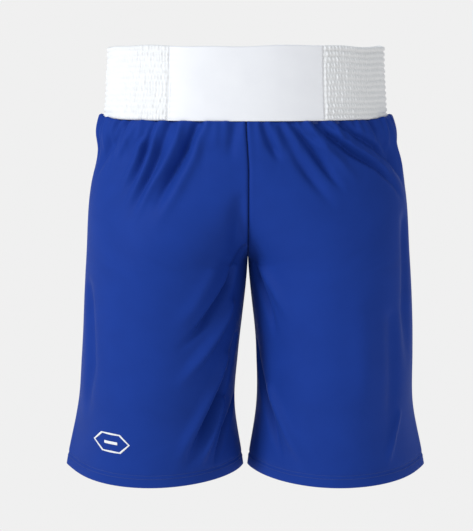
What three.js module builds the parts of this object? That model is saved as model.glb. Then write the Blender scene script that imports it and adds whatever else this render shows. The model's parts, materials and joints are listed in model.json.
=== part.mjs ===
// Amateur boxing shorts with a tall waistband, filled out as if worn by nobody.
//
// The part's frame is in millimetres: +Z is up, -Y is the front and +X is the wearer's left.
// The origin is the centre of the waist opening, level with the band's top edge, so a height
// is given as a drop: the distance below that edge.
//
// Every piece of cloth is a thin solid that lies on one shape, the form: an oval at the waist
// that parts into two ovals, one for each leg, below the crotch.
import * as THREE from "three";

// Waistband
const BAND_HEIGHT = 86;
const BAND_HALF_WIDTH = 165; // at the top edge
const BAND_HALF_DEPTH = 98;
const BAND_FLARE = 5; // extra half width and half depth at the lower edge
const SMOOTH_PANEL_WIDTH = 170; // straight across the front, from join to join
const COVER = 0.8; // one layer of the band's cloth
const CORE = 1.2; // elastic or interlining inside the cover
const SHIRRING_ROWS = 12;

// Form of the legs
const LENGTH = 520; // band top to hem edge
const CROTCH_DROP = 258;
const CREASE_DROP = 108; // where the front and back begin to part into two legs
const PUFF = { below: 14, width: 4.5, depth: 2 }; // the gathered cloth stands out under the band
const PINCH = { drop: 125, width: 181, front: 104, back: 108 };
const HIP = { drop: 165, width: 190.5, front: 108, back: 116 };
const CROTCH = { width: 198.5, front: 109, back: 118 };
const THIGH = { drop: 374, width: 204, front: 105, back: 108, gap: 10.8 }; // gap is half the space
const KNEE = { drop: 438, width: 208, front: 103, back: 104, gap: 13.8 }; // between the two legs
const HEM = { width: 222.5, front: 104, back: 104, gap: 4 };

// Cloth, seams and trim
const CLOTH = 1;
const HEM_HEIGHT = 15;
const HEM_STITCH_HEIGHT = 1.4;
const OVERLOCK_WIDTH = 6;
const OVERLOCK = 1.2; // thickness of an overlocked seam allowance
const THREAD = 0.5;
const SHIRRING_THREAD_HEIGHT = 0.8;
const JOIN_STITCH = { width: 2, margin: 1.5 };
const LABEL = 0.4;
const SIZE_LABEL = { width: 40, height: 28, drop: 24 };
const CARE_LABEL = { width: 30, height: 46, angle: 68, lean: 3 }; // degrees from the left to the back
const EMBLEM = { x: -163, rise: 52, width: 51, height: 24, point: 12, border: 2.4 };
const EMBLEM_BAR = { width: 18, height: 3.6 };
const EMBLEM_THREAD = 0.8;

// Clearances
const SEAM_GAP = 0.3; // between two pieces that are sewn edge to edge
const LAYER_GAP = 0.3; // between two layers whose facets match
const CURVED_GAP = 1; // between two layers whose facets don't
const PIVOT_RISE = 58; // the legs swing about an axis this far above the crotch
const ARC_MARGIN = 22; // the swing's parting arc lies this far outside the seat

// How finely the form is divided
const HALF_LEG_COLUMNS = 12; // from an inner edge to the side seam
const ROWS_TO_CROTCH = 9;
const ROWS_BELOW_CROTCH = 3;
const LEG_ROWS = 6;
const BACK_BAND_COLUMNS = 28;
const FRONT_BAND_COLUMNS = 9;
const EMBLEM_EDGE_PARTS = 4;
const ARC_STEPS = 12;

// Finishes
const finish = (color, roughness) => new THREE.MeshStandardMaterial({ color, roughness, metalness: 0 });
const blueKnit = finish(0x1f3f9a, 0.62);
const whiteSatin = finish(0xf6f6fa, 0.5);
const whiteShirring = finish(0xf2f2f4, 0.75);
const whiteElastic = finish(0xebebe6, 0.85);
const whiteThread = finish(0xfafafc, 0.6);
const blueThread = finish(0x1b3484, 0.7);
const labelTape = finish(0xf4f4f0, 0.55);

const { clamp, lerp, degToRad } = THREE.MathUtils;
const shorts = new THREE.Group();
const add = (name, geometry, material) => {
  const mesh = new THREE.Mesh(geometry, material);
  mesh.name = name;
  shorts.add(mesh);
};

// The form ---------------------------------------------------------------------------------

const bandFoot = { width: BAND_HALF_WIDTH + BAND_FLARE, depth: BAND_HALF_DEPTH + BAND_FLARE };
const puffDrop = BAND_HEIGHT + PUFF.below;
const puffDepth = bandFoot.depth + PUFF.depth;
const stations = [
  { drop: BAND_HEIGHT, width: bandFoot.width, front: bandFoot.depth, back: bandFoot.depth },
  { drop: puffDrop, width: bandFoot.width + 2 * PUFF.width, front: puffDepth, back: puffDepth },
  PINCH,
  HIP,
  { drop: CROTCH_DROP, ...CROTCH },
  THIGH,
  KNEE,
  { drop: LENGTH, ...HEM },
];
const outline = new THREE.CubicInterpolant(
  stations.map((s) => s.drop),
  stations.flatMap((s) => [s.width, s.front, s.back, s.gap ?? 0]),
  4,
);

// One leg's oval at a drop: its centre, half width, depths and the angle of its inner edge. Above
// the crotch the two ovals overlap, and each keeps only its part outside the middle plane.
function oval(drop) {
  const [width, front, back, gap] = outline.evaluate(drop);
  const parted = drop > CROTCH_DROP;
  const share = clamp((drop - CREASE_DROP) / (CROTCH_DROP - CREASE_DROP), 0, 1);
  const offset = 1 - (1 - share ** 2) ** 1.5; // centre to middle plane, in half widths
  const halfWidth = parted ? (width - gap) / 2 : width / (1 + offset);
  const centre = parted ? (width + gap) / 2 : width - halfWidth;
  const innerEdge = Math.PI - Math.acos(offset) - SEAM_GAP / 2 / back;
  return { halfWidth, centre, front, back, innerEdge };
}

// A point of the left half's outer face. Angle 0 is the side seam, a negative angle is in front.
function onOval(angle, drop) {
  const { halfWidth, centre, front, back } = oval(drop);
  const depth = angle < 0 ? front : back;
  const x = centre + halfWidth * Math.cos(angle) + SEAM_GAP / 2;
  return new THREE.Vector3(x, depth * Math.sin(angle), -drop);
}

// The same point moved inwards along the form's own normal. A negative inset stands proud.
function onForm(angle, drop, inset) {
  const step = 0.01;
  const around = onOval(angle + step, drop).sub(onOval(angle - step, drop));
  const down = onOval(angle, drop + step).sub(onOval(angle, drop - step));
  const inwards = around.cross(down).normalize();
  return onOval(angle, drop).addScaledVector(inwards, inset);
}

// turn runs from 0 at the front's inner edge, through 1 at the side seam, to 2 at the back's.
const atTurn = (turn, drop, inset) => onForm((turn - 1) * oval(drop).innerEdge, drop, inset);

// Hips and legs part on an arc about the axis of swing, so the legs never cut into the hips.
const pivotDrop = CROTCH_DROP - PIVOT_RISE;
const arcRadius = CROTCH.back + ARC_MARGIN;
function arcDrop(turn, inset, radius) {
  let drop = pivotDrop + radius;
  for (let step = 0; step < ARC_STEPS; step++) {
    const { y, z } = atTurn(turn, drop, inset);
    drop += pivotDrop + Math.sqrt(radius ** 2 - y ** 2) + z;
  }
  return drop;
}

// A point of the band's outer face. Angle 0 is the wearer's left, a negative angle is in front.
function onBand(angle, drop, inset) {
  const flare = (BAND_FLARE * drop) / BAND_HEIGHT;
  const width = BAND_HALF_WIDTH + flare;
  const depth = BAND_HALF_DEPTH + flare;
  const point = new THREE.Vector3(width * Math.cos(angle), depth * Math.sin(angle), -drop);
  const inwards = new THREE.Vector3(-depth * Math.cos(angle), -width * Math.sin(angle), 0).normalize();
  return point.addScaledVector(inwards, inset);
}

// Two ways to make a thin solid -------------------------------------------------------------

// A sheet laid on a surface. place takes a column, a row and a layer, which is 0 on the outer face
// and 1 on the inner one. Columns run to the viewer's right, seen from outside, and rows run down.
function sheet(columns, rows, place) {
  const geometry = new THREE.BoxGeometry(1, 1, 1, columns, rows, 1);
  const points = geometry.attributes.position;
  for (let i = 0; i < points.count; i++) {
    const column = Math.round((points.getX(i) + 0.5) * columns);
    const row = Math.round((0.5 - points.getY(i)) * rows);
    const { x, y, z } = place(column, row, 0.5 - points.getZ(i));
    points.setXYZ(i, x, y, z);
  }
  splitAlike(geometry);
  return geometry;
}

// Turns the two triangles of each square of a box's outer face, so that they meet on the same
// corners as those of its inner face and a twisted sheet keeps its thickness.
function splitAlike(geometry) {
  const corners = geometry.index.array;
  const { start, count } = geometry.groups[4];
  for (let i = start; i < start + count; i += 6) {
    const [a, b, d, , c] = corners.slice(i, i + 6);
    corners.set([a, b, c, a, c, d], i);
  }
}

// A closed band of rectangular section. corner takes a column, counted anticlockwise from above,
// and which edges of the section are meant: low or high, inner or outer.
function loop(columns, corner) {
  const geometry = new THREE.TorusGeometry(1, 0.5, 4, columns);
  const points = geometry.attributes.position;
  for (let i = 0; i < points.count; i++) {
    const column = (i % (columns + 1)) % columns;
    const section = Math.floor(i / (columns + 1)) % 4;
    const { x, y, z } = corner(column, section === 0 || section === 3, section > 1);
    points.setXYZ(i, x, y, z);
  }
  return geometry;
}

// The right half is the left one mirrored, so its columns run the other way.
const mirrored = (point) => point.setX(-point.x);
function halfSheet(side, columns, rows, place) {
  if (side === "left") return sheet(columns, rows, place);
  return sheet(columns, rows, (column, row, layer) => mirrored(place(columns - column, row, layer)));
}
function halfLoop(side, columns, corner) {
  if (side === "left") return loop(columns, corner);
  return loop(columns, (column, low, inner) => mirrored(corner((columns - column) % columns, low, inner)));
}

// Waistband --------------------------------------------------------------------------------

const FRONT = -Math.PI / 2;
const joinAngle = Math.asin(SMOOTH_PANEL_WIDTH / 2 / BAND_HALF_WIDTH);
const halfGapAngle = SEAM_GAP / 2 / BAND_HALF_DEPTH;
const frontBand = [FRONT - joinAngle + halfGapAngle, FRONT + joinAngle - halfGapAngle];
const backBand = [FRONT + joinAngle + halfGapAngle, FRONT - joinAngle - halfGapAngle + 2 * Math.PI];
const bandThickness = 2 * COVER + 2 * LAYER_GAP + CORE;

// The cover is one strip of cloth folded over the core: up the inside, over the top and down the
// outside. Each fold is an inset and a drop on the strip's outward face.
function bandCover([from, to], columns) {
  const folds = [
    [bandThickness, BAND_HEIGHT],
    [bandThickness, 0],
    [0, 0],
    [0, BAND_HEIGHT],
  ];
  return sheet(columns, folds.length - 1, (column, row, layer) => {
    const [inset, drop] = folds[row];
    const thinner = layer * COVER * (inset ? -1 : 1);
    const lower = drop ? 0 : layer * COVER;
    return onBand(lerp(from, to, column / columns), drop + lower, inset + thinner);
  });
}

function bandStrip([from, to], columns, [top, bottom], [outer, inner]) {
  return sheet(columns, 1, (column, row, layer) =>
    onBand(lerp(from, to, column / columns), row ? bottom : top, layer ? inner : outer),
  );
}

const coreDrops = [COVER + LAYER_GAP, BAND_HEIGHT];
const coreInsets = [COVER + LAYER_GAP, COVER + LAYER_GAP + CORE];
add("waistband_front_cover", bandCover(frontBand, FRONT_BAND_COLUMNS), whiteSatin);
add("waistband_back_cover", bandCover(backBand, BACK_BAND_COLUMNS), whiteShirring);
add("waistband_interlining", bandStrip(frontBand, FRONT_BAND_COLUMNS, coreDrops, coreInsets), whiteElastic);
add("waistband_elastic", bandStrip(backBand, BACK_BAND_COLUMNS, coreDrops, coreInsets), whiteElastic);

const threadInsets = [-LAYER_GAP - THREAD, -LAYER_GAP];
const rowPitch = BAND_HEIGHT / (SHIRRING_ROWS + 1);
for (let row = 1; row <= SHIRRING_ROWS; row++) {
  const drops = [-1, 1].map((way) => row * rowPitch + (way * SHIRRING_THREAD_HEIGHT) / 2);
  const thread = bandStrip(backBand, BACK_BAND_COLUMNS, drops, threadInsets);
  add(`shirring_row_${String(row).padStart(2, "0")}`, thread, whiteThread);
}
for (const [side, way] of [["left", 1], ["right", -1]]) {
  const near = joinAngle - (JOIN_STITCH.margin + JOIN_STITCH.width) / BAND_HALF_WIDTH;
  const far = joinAngle - JOIN_STITCH.margin / BAND_HALF_WIDTH;
  const reach = [FRONT + way * near, FRONT + way * far].sort((a, b) => a - b);
  const stitch = bandStrip(reach, 1, [COVER, BAND_HEIGHT - COVER], threadInsets);
  add(`waistband_${side}_join_stitch`, stitch, whiteThread);
}

// The overlocked seam that holds the band and the cloth together, behind both
const waistSeamInset = bandThickness + CURVED_GAP;
const waistSeamDrops = [BAND_HEIGHT - OVERLOCK_WIDTH, BAND_HEIGHT + OVERLOCK_WIDTH];
const waistColumns = BACK_BAND_COLUMNS + FRONT_BAND_COLUMNS;
add(
  "waist_overlock",
  loop(waistColumns, (column, low, inner) => {
    const angle = (column / waistColumns) * 2 * Math.PI;
    return onBand(angle, waistSeamDrops[low ? 1 : 0], waistSeamInset + (inner ? OVERLOCK : 0));
  }),
  blueThread,
);

// Labels, sewn inside the back
function label({ width, height }, top, angle, inset, lean) {
  const half = width / 2 / BAND_HALF_WIDTH;
  return sheet(2, 1, (column, row, layer) => {
    const depth = inset + row * lean + layer * LABEL;
    return onBand(lerp(angle - half, angle + half, column / 2), top + row * height, depth);
  });
}
const sizeLabel = label(SIZE_LABEL, SIZE_LABEL.drop, Math.PI / 2, bandThickness + CURVED_GAP, 0);
const careInset = waistSeamInset + OVERLOCK + CURVED_GAP;
const careLabel = label(CARE_LABEL, BAND_HEIGHT, degToRad(CARE_LABEL.angle), careInset, CARE_LABEL.lean);
add("size_label", sizeLabel, labelTape);
add("care_label", careLabel, labelTape);

// Hips and legs ----------------------------------------------------------------------------

const hipRows = ROWS_TO_CROTCH + ROWS_BELOW_CROTCH;
const hemTop = LENGTH - HEM_HEIGHT;

// Rows crowd together towards the crotch, where the form turns most.
function hipDrop(row, turn, inset) {
  if (row === 0) return BAND_HEIGHT + SEAM_GAP;
  if (row > ROWS_TO_CROTCH) {
    const end = arcDrop(turn, inset, arcRadius - SEAM_GAP);
    return lerp(CROTCH_DROP, end, (row - ROWS_TO_CROTCH) / ROWS_BELOW_CROTCH);
  }
  const share = (row - 1) / (ROWS_TO_CROTCH - 1);
  return lerp(puffDrop, CROTCH_DROP, Math.sin((share * Math.PI) / 2));
}

// The last row of a leg is its hem.
function legDrop(row, turn, inset) {
  if (row === LEG_ROWS) return LENGTH;
  const start = arcDrop(turn, inset, arcRadius + SEAM_GAP);
  return lerp(start, hemTop, row / (LEG_ROWS - 1));
}

function panel(side, [from, to], rows, dropAt) {
  return halfSheet(side, HALF_LEG_COLUMNS, rows, (column, row, layer) => {
    const turn = lerp(from, to, column / HALF_LEG_COLUMNS);
    const inset = layer * CLOTH;
    return atTurn(turn, dropAt(row, turn, inset), inset);
  });
}

// An overlocked seam allowance behind one line of the form, on some of the panels' own rows
const seamInset = CLOTH + CURVED_GAP;
const hipSeamDrop = (row, turn, inset) =>
  Math.min(hipDrop(row, turn, inset), arcDrop(turn, inset, arcRadius - CURVED_GAP));
const legSeamDrop = (row, turn, inset) => Math.min(legDrop(row, turn, inset), hemTop - CURVED_GAP);
function overlock(side, turn, [firstRow, lastRow], dropAt) {
  return halfSheet(side, 2, lastRow - firstRow, (column, row, layer) => {
    const inset = seamInset + layer * OVERLOCK;
    const drop = dropAt(firstRow + row, turn, inset);
    const angle = (turn - 1) * Math.PI + ((column / 2 - 0.5) * OVERLOCK_WIDTH) / oval(drop).halfWidth;
    return onForm(angle, drop, inset);
  });
}

// The hem's edge is turned up inside the leg, and a ring of stitches outside holds it.
function hemRing(side, [top, bottom], [outer, inner]) {
  const columns = 2 * HALF_LEG_COLUMNS;
  return halfLoop(side, columns, (column, low, isInner) => {
    const angle = (column / HALF_LEG_COLUMNS) * Math.PI;
    const signed = angle > Math.PI ? angle - 2 * Math.PI : angle;
    return onForm(signed, low ? bottom : top, isInner ? inner : outer);
  });
}

const halfSeamTurn = SEAM_GAP / 2 / HEM.front;
const halves = { front: [0, 1 - halfSeamTurn], back: [1 + halfSeamTurn, 2] };
const belowWaist = [1, hipRows];
const belowCrotch = [ROWS_TO_CROTCH + 1, hipRows];
const aboveHem = [0, LEG_ROWS - 1];
const turnUpInset = CLOTH + LAYER_GAP;
const stitchDrops = [hemTop, hemTop + HEM_STITCH_HEIGHT];
const stitchInsets = [-CURVED_GAP - THREAD, -CURVED_GAP];
for (const side of ["left", "right"]) {
  for (const [half, turns] of Object.entries(halves)) {
    add(`${side}_${half}_hip_panel`, panel(side, turns, hipRows, hipDrop), blueKnit);
    add(`${side}_${half}_leg_panel`, panel(side, turns, LEG_ROWS, legDrop), blueKnit);
  }
  add(`${side}_side_overlock_hip`, overlock(side, 1, belowWaist, hipSeamDrop), blueThread);
  add(`${side}_side_overlock_leg`, overlock(side, 1, aboveHem, legSeamDrop), blueThread);
  add(`${side}_inseam_overlock_hip`, overlock(side, 2, belowCrotch, hipSeamDrop), blueThread);
  add(`${side}_inseam_overlock_leg`, overlock(side, 2, aboveHem, legSeamDrop), blueThread);
  add(`${side}_hem_turn_up`, hemRing(side, [hemTop, LENGTH], [turnUpInset, turnUpInset + CLOTH]), blueKnit);
  add(`${side}_hem_stitching`, hemRing(side, stitchDrops, stitchInsets), blueThread);
}

// The rise seams run down the middle plane to the crotch, behind the panels' inner edges.
function riseOverlock(half) {
  const way = half === "front" ? -1 : 1;
  const path = (drop) => {
    const form = oval(drop);
    return new THREE.Vector3(0, way * form[half] * Math.sin(form.innerEdge), -drop);
  };
  const rows = ROWS_TO_CROTCH - 2;
  return sheet(1, rows, (column, row, layer) => {
    const drop = hipDrop(row + 1);
    const along = path(drop + 0.05).sub(path(drop - 0.05));
    const inwards = new THREE.Vector3(0, along.z, -along.y).multiplyScalar(way).normalize();
    const point = path(drop).addScaledVector(inwards, seamInset + layer * OVERLOCK);
    return point.setX((0.5 - column) * OVERLOCK_WIDTH * way);
  });
}
add("front_rise_overlock", riseOverlock("front"), blueThread);
add("back_rise_overlock", riseOverlock("back"), blueThread);

// Emblem -----------------------------------------------------------------------------------

// A plain six-sided badge on the front of the right leg. A point is given across and up from its
// middle.
function onRightLeg(across, up, inset) {
  const drop = LENGTH - EMBLEM.rise - up;
  const { centre, halfWidth } = oval(drop);
  const angle = -Math.acos((-EMBLEM.x - across - centre) / halfWidth);
  return mirrored(onForm(angle, drop, inset));
}

function hexagon(width, height, point) {
  const [w, h] = [width / 2, height / 2];
  return [[w, 0], [w - point, h], [point - w, h], [-w, 0], [point - w, -h], [w - point, -h]];
}

function emblemBorder() {
  const outer = hexagon(EMBLEM.width, EMBLEM.height, EMBLEM.point);
  const trim = 2 * EMBLEM.border;
  const inner = hexagon(EMBLEM.width - 1.4 * trim, EMBLEM.height - trim, EMBLEM.point - 0.4 * trim);
  return loop(outer.length * EMBLEM_EDGE_PARTS, (column, low, isInner) => {
    const edge = Math.floor(column / EMBLEM_EDGE_PARTS);
    const share = (column % EMBLEM_EDGE_PARTS) / EMBLEM_EDGE_PARTS;
    const corners = isInner ? inner : outer;
    const [start, end] = [corners[edge], corners[(edge + 1) % corners.length]];
    const [across, up] = [lerp(start[0], end[0], share), lerp(start[1], end[1], share)];
    return onRightLeg(across, up, low ? -CURVED_GAP : -CURVED_GAP - EMBLEM_THREAD);
  });
}

const emblemBar = sheet(EMBLEM_EDGE_PARTS, 1, (column, row, layer) => {
  const across = (column / EMBLEM_EDGE_PARTS - 0.5) * EMBLEM_BAR.width;
  const up = (0.5 - row) * EMBLEM_BAR.height;
  return onRightLeg(across, up, -CURVED_GAP - (1 - layer) * EMBLEM_THREAD);
});
add("emblem_border", emblemBorder(), whiteThread);
add("emblem_bar", emblemBar, whiteThread);

export default shorts;
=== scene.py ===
# %% [markdown]
# # Boxing shorts
# Long boxing shorts hang as if somebody wore them: a tall white waistband, shirred round the sides
# and back and smooth in front, and two blue legs of soft knit.
# The frame that was designed first holds every size, so this lesson reads it and adds the cloth.

import json
import math

import bpy
import numpy as np
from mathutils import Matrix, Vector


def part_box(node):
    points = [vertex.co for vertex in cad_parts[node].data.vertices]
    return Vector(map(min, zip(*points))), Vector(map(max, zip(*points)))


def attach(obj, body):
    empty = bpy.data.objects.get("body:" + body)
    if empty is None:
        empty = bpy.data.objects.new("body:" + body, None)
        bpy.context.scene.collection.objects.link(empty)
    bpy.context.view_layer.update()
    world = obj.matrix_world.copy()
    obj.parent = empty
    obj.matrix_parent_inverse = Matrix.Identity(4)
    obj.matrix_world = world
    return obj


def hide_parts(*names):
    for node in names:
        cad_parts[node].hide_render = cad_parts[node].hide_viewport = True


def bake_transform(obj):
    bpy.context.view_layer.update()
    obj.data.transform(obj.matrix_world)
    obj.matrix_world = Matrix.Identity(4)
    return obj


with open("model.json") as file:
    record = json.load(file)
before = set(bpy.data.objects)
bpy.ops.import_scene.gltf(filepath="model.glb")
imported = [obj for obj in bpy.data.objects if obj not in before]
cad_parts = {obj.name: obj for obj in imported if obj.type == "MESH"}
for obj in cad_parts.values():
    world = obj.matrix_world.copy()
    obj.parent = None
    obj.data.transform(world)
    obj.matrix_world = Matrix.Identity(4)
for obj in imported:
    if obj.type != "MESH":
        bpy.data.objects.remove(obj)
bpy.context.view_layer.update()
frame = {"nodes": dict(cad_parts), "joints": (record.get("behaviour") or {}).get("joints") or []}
MM = 0.001


# %% [markdown]
# ## Sizes
# A garment has few driving sizes. The ones that the frame shows are measured on it, so the cloth
# always fits. The rest are the same few numbers that the form was designed with.

# %% Driving sizes
def low(node):
    return np.array(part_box(node)[0])


def high(node):
    return np.array(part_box(node)[1])


BAND_HEIGHT = -low("waistband_front_cover")[2]
BAND_FOOT_WIDTH = high("waistband_back_cover")[0]  # half of it, as are all the widths here
BAND_FOOT_DEPTH = high("waistband_back_cover")[1]
BAND_FLARE = 5 * MM
BAND_THICKNESS = 3.4 * MM
SMOOTH_PANEL_WIDTH = 170 * MM
LENGTH = -low("left_hem_turn_up")[2]
HEM_HEIGHT = 15 * MM
PIVOT_RISE = 58 * MM  # the hip joint lies this far above the crotch
CROTCH_DROP = PIVOT_RISE - frame["joints"][0]["pos_m"][2]
PARTING_DROP = 108 * MM  # where the outline starts to part into two legs
SEAM_GAP = 0.3 * MM
CLOTH = 0.55 * MM
print(f"band {BAND_HEIGHT / MM:.1f} mm, crotch {CROTCH_DROP / MM:.0f} mm, length {LENGTH / MM:.0f} mm")

# %% [markdown]
# ## The form
# Cut worn shorts level and the outline is one oval at the waist and two at the legs. Such a form
# could be modelled from a box with Subdivision Surface, but then every seam, fold and stitch would
# have to find it again. A formula of two numbers, how far round and how far down, serves them all.
# It starts as a smooth curve through a short table of outlines.

# %% The table of outlines
# drop below the top edge, half width, depth in front, depth behind, half the gap between the legs
OUTLINES = MM * np.array([
    [BAND_HEIGHT / MM, BAND_FOOT_WIDTH / MM, 103, 103, 0],
    [BAND_HEIGHT / MM + 14, BAND_FOOT_WIDTH / MM + 9, 105, 105, 0],
    [125, 181, 104, 108, 0],
    [165, 190.5, 108, 116, 0],
    [CROTCH_DROP / MM, 198.5, 109, 118, 0],
    [374, 204, 105, 108, 10.8],
    [438, 208, 103, 104, 13.8],
    [LENGTH / MM, 222.5, 104, 104, 4],
])


def outline(drop):
    """A cubic through the table's rows: each row's slope is that of its neighbours."""
    knots, values = OUTLINES[:, 0], OUTLINES[:, 1:]
    slopes = np.gradient(values, knots, axis=0)
    at = np.clip(drop, knots[0], knots[-1])
    i = np.clip(np.searchsorted(knots, at, "right") - 1, 0, len(knots) - 2)
    span = (knots[i + 1] - knots[i])[..., None]
    t = ((at - knots[i])[..., None]) / span
    rise = t * t * (3 - 2 * t)
    bend = span * (slopes[i] * t * (1 - t) ** 2 - slopes[i + 1] * t * t * (1 - t))
    return np.moveaxis(values[i] * (1 - rise) + values[i + 1] * rise + bend, -1, 0)


# %% [markdown]
# From just below the band down to the crotch, one oval becomes two. A union of two solids would
# leave a ridge there. Here each leg's oval is cut off at the middle plane, its centre slides
# outwards on the way down, and at the crotch nothing is left of the cut.

# %% From the table to a surface
def oval(drop):
    """One leg's oval: above the crotch its centre slides in, until both ovals are the waist's one."""
    width, front, back, gap = outline(drop)
    share = np.clip((drop - PARTING_DROP) / (CROTCH_DROP - PARTING_DROP), 0, 1)
    offset = 1 - (1 - share**2) ** 1.5
    parted = drop > CROTCH_DROP
    half = np.where(parted, (width - gap) / 2, width / (1 + offset))
    centre = np.where(parted, (width + gap) / 2, width - half)
    inner = np.pi - np.arccos(offset) - SEAM_GAP / 2 / back
    return half, centre, front, back, inner


def form_point(turn, drop):
    """A point of the left half: turn is 0 at the front's inner edge, 1 at the side, 2 at the back's."""
    half, centre, front, back, inner = oval(drop)
    angle = (turn - 1) * inner
    depth = np.where(angle < 0, front, back)
    x = centre + half * np.cos(angle) + SEAM_GAP / 2
    return np.stack([x, depth * np.sin(angle), -drop], -1)


def unit(v):
    """Vectors divided by their own length."""
    return v / np.maximum(np.linalg.norm(v, axis=-1, keepdims=True), 1e-12)


def outward(turn, drop):
    """The form's normal: the cross product of small steps down and around."""
    step = 1e-4
    turn_low, turn_high = np.clip(turn - step, 0, 2), np.clip(turn + step, 0, 2)
    around = form_point(turn_high, drop) - form_point(turn_low, drop)
    down = form_point(turn, drop + step) - form_point(turn, drop - step)
    return unit(np.cross(down, around))


print("form: the side of the hip is at", form_point(np.array(1.0), np.array(0.165)).round(3))

# %% [markdown]
# ## Folds
# Cloth folds where it is pulled. From the gathers at the band long folds run out to the hips, and
# from the crotch others run down the legs. A simulation would fold it somewhere, but not here, so
# each fold is given one by one: a short route, how high it stands (less than 0 is a valley) and how
# wide it is. All are in millimetres: across from the middle, then down from the top edge.

# %% The folds in front
FRONT_FOLDS = [
    ([(-53, 88), (-74, 124), (-88, 145), (-99, 168), (-112, 196)], -6.6, 6.5),
    ([(-47, 90), (-62, 128), (-83, 167), (-112, 214)], 3.8, 8.0),
    ([(-70, 88), (-97, 138), (-115, 168), (-136, 210)], 3.6, 6.0),
    ([(-86, 88), (-106, 130), (-121, 162), (-140, 202)], -3.8, 5.5),
    ([(-98, 88), (-114, 128), (-126, 155), (-147, 196)], 3.4, 5.0),
    ([(-104, 88), (-122, 128), (-141, 174)], -3.4, 5.0),
    ([(-112, 88), (-131, 133), (-154, 180)], 3.0, 5.0),
    ([(-111, 88), (-120, 104), (-134, 120)], -2.6, 4.0),
    ([(-138, 88), (-154, 109), (-167, 132)], -4.0, 6.0),
    ([(-124, 90), (-142, 112), (-160, 142)], 2.0, 5.0),
    ([(-10, 88), (-18, 112), (-24, 136)], -2.4, 8.0),
    ([(-33, 90), (-40, 122)], 1.4, 8.0),
    ([(-8, 180), (-12, 216), (-14, 250)], -3.6, 15.0),
    ([(2, 236), (-22, 280), (-52, 324), (-88, 358)], -9.5, 6.6),
    ([(-38, 256), (-62, 300), (-92, 334)], 2.6, 12.0),
    ([(-22, 306), (-40, 340), (-64, 374), (-86, 402)], 6.4, 9.5),
    ([(-14, 352), (-26, 404), (-41, 440), (-57, 474), (-73, 508)], -10.0, 7.0),
    ([(-26, 372), (-46, 420), (-66, 462), (-88, 506)], 4.4, 10.0),
    ([(-29, 424), (-40, 464), (-54, 506)], 6.5, 7.0),
    ([(-14, 428), (-23, 464), (-35, 508)], -8.0, 5.0),
    ([(80, 88), (94, 102), (122, 123), (151, 140), (172, 162), (186, 190)], -6.2, 5.5),
    ([(107, 88), (128, 104), (150, 118), (169, 136), (180, 158)], -5.2, 5.0),
    ([(94, 88), (112, 109), (138, 126), (161, 145), (178, 172)], 2.8, 5.5),
    ([(51, 88), (66, 107), (80, 127), (95, 148), (114, 172)], -5.4, 6.0),
    ([(68, 90), (86, 113), (108, 136), (132, 162)], 3.0, 7.5),
    ([(64, 88), (72, 101), (90, 117)], -3.6, 4.5),
    ([(18, 88), (26, 112), (40, 138)], -4.0, 6.0),
    ([(34, 88), (60, 135), (82, 164), (104, 192)], -3.8, 7.5),
    ([(28, 92), (48, 118), (70, 146)], 1.6, 8.0),
    ([(93, 88), (106, 101)], -2.0, 3.0),
    ([(16, 258), (32, 286), (54, 326)], 3.0, 10.0),
    ([(8, 262), (20, 300), (36, 348)], -4.4, 8.0),
    ([(10, 366), (24, 436), (46, 506)], -7.0, 8.0),
    ([(28, 410), (50, 462), (78, 508)], 4.0, 10.0),
    ([(170, 320), (176, 400), (180, 478)], -3.2, 14.0),
    ([(188, 440), (182, 470), (174, 504)], 2.6, 6.5),
    ([(130, 300), (138, 380), (132, 460)], 1.6, 20.0),
]

# %% [markdown]
# Behind, the cloth has gathers below the elastic, slack under the seat, and soft flutes down the
# legs. At the sides it only hangs, so a few long soft folds are enough there. Their first number
# is how far behind the middle they lie, less than 0 in front.

# %% The folds behind and at the sides
BACK_FOLDS = [
    ([(-24, 88), (-34, 124), (-52, 160)], -3.2, 6.5),
    ([(-58, 88), (-74, 122), (-98, 160)], -3.6, 6.0),
    ([(-42, 90), (-56, 126), (-76, 168)], 2.6, 7.5),
    ([(-92, 88), (-112, 118), (-140, 150)], -3.4, 5.5),
    ([(-76, 90), (-96, 124), (-120, 160)], 2.4, 7.0),
    ([(-124, 88), (-146, 112), (-168, 142)], -3.6, 5.5),
    ([(-8, 236), (-40, 274), (-86, 298)], -5.0, 10.0),
    ([(-24, 226), (-70, 262), (-120, 280)], 3.0, 14.0),
    ([(-10, 262), (-34, 318), (-52, 372)], -4.0, 9.0),
    ([(-30, 380), (-44, 440), (-64, 502)], -4.0, 11.0),
    ([(-120, 360), (-130, 430), (-144, 502)], -2.8, 15.0),
    ([(22, 88), (30, 118), (46, 150)], -3.0, 6.0),
    ([(48, 88), (66, 126), (92, 168)], -3.8, 6.0),
    ([(34, 90), (48, 126), (66, 164)], 2.4, 7.5),
    ([(84, 88), (108, 120), (134, 156)], -3.4, 5.5),
    ([(66, 90), (88, 124), (114, 164)], 2.4, 7.0),
    ([(118, 88), (142, 112), (166, 146)], -3.6, 5.5),
    ([(8, 238), (44, 270), (92, 290)], -4.6, 10.0),
    ([(20, 228), (66, 256), (116, 270)], 2.8, 14.0),
    ([(10, 264), (38, 324), (60, 384)], -3.6, 9.0),
    ([(26, 396), (42, 450), (58, 504)], -3.6, 10.0),
    ([(124, 340), (136, 420), (150, 502)], -3.0, 15.0),
]
LEFT_SIDE_FOLDS = [
    ([(-58, 88), (-40, 128), (-22, 176)], -3.6, 7.0),
    ([(-34, 90), (-22, 130), (-6, 170)], 2.4, 7.5),
    ([(48, 88), (38, 124), (24, 162)], -3.4, 6.5),
    ([(26, 90), (18, 128), (8, 158)], -2.6, 5.5),
    ([(-40, 210), (-52, 310), (-46, 400)], -4.4, 15.0),
    ([(38, 250), (50, 350), (42, 450)], -4.6, 15.0),
]
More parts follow.
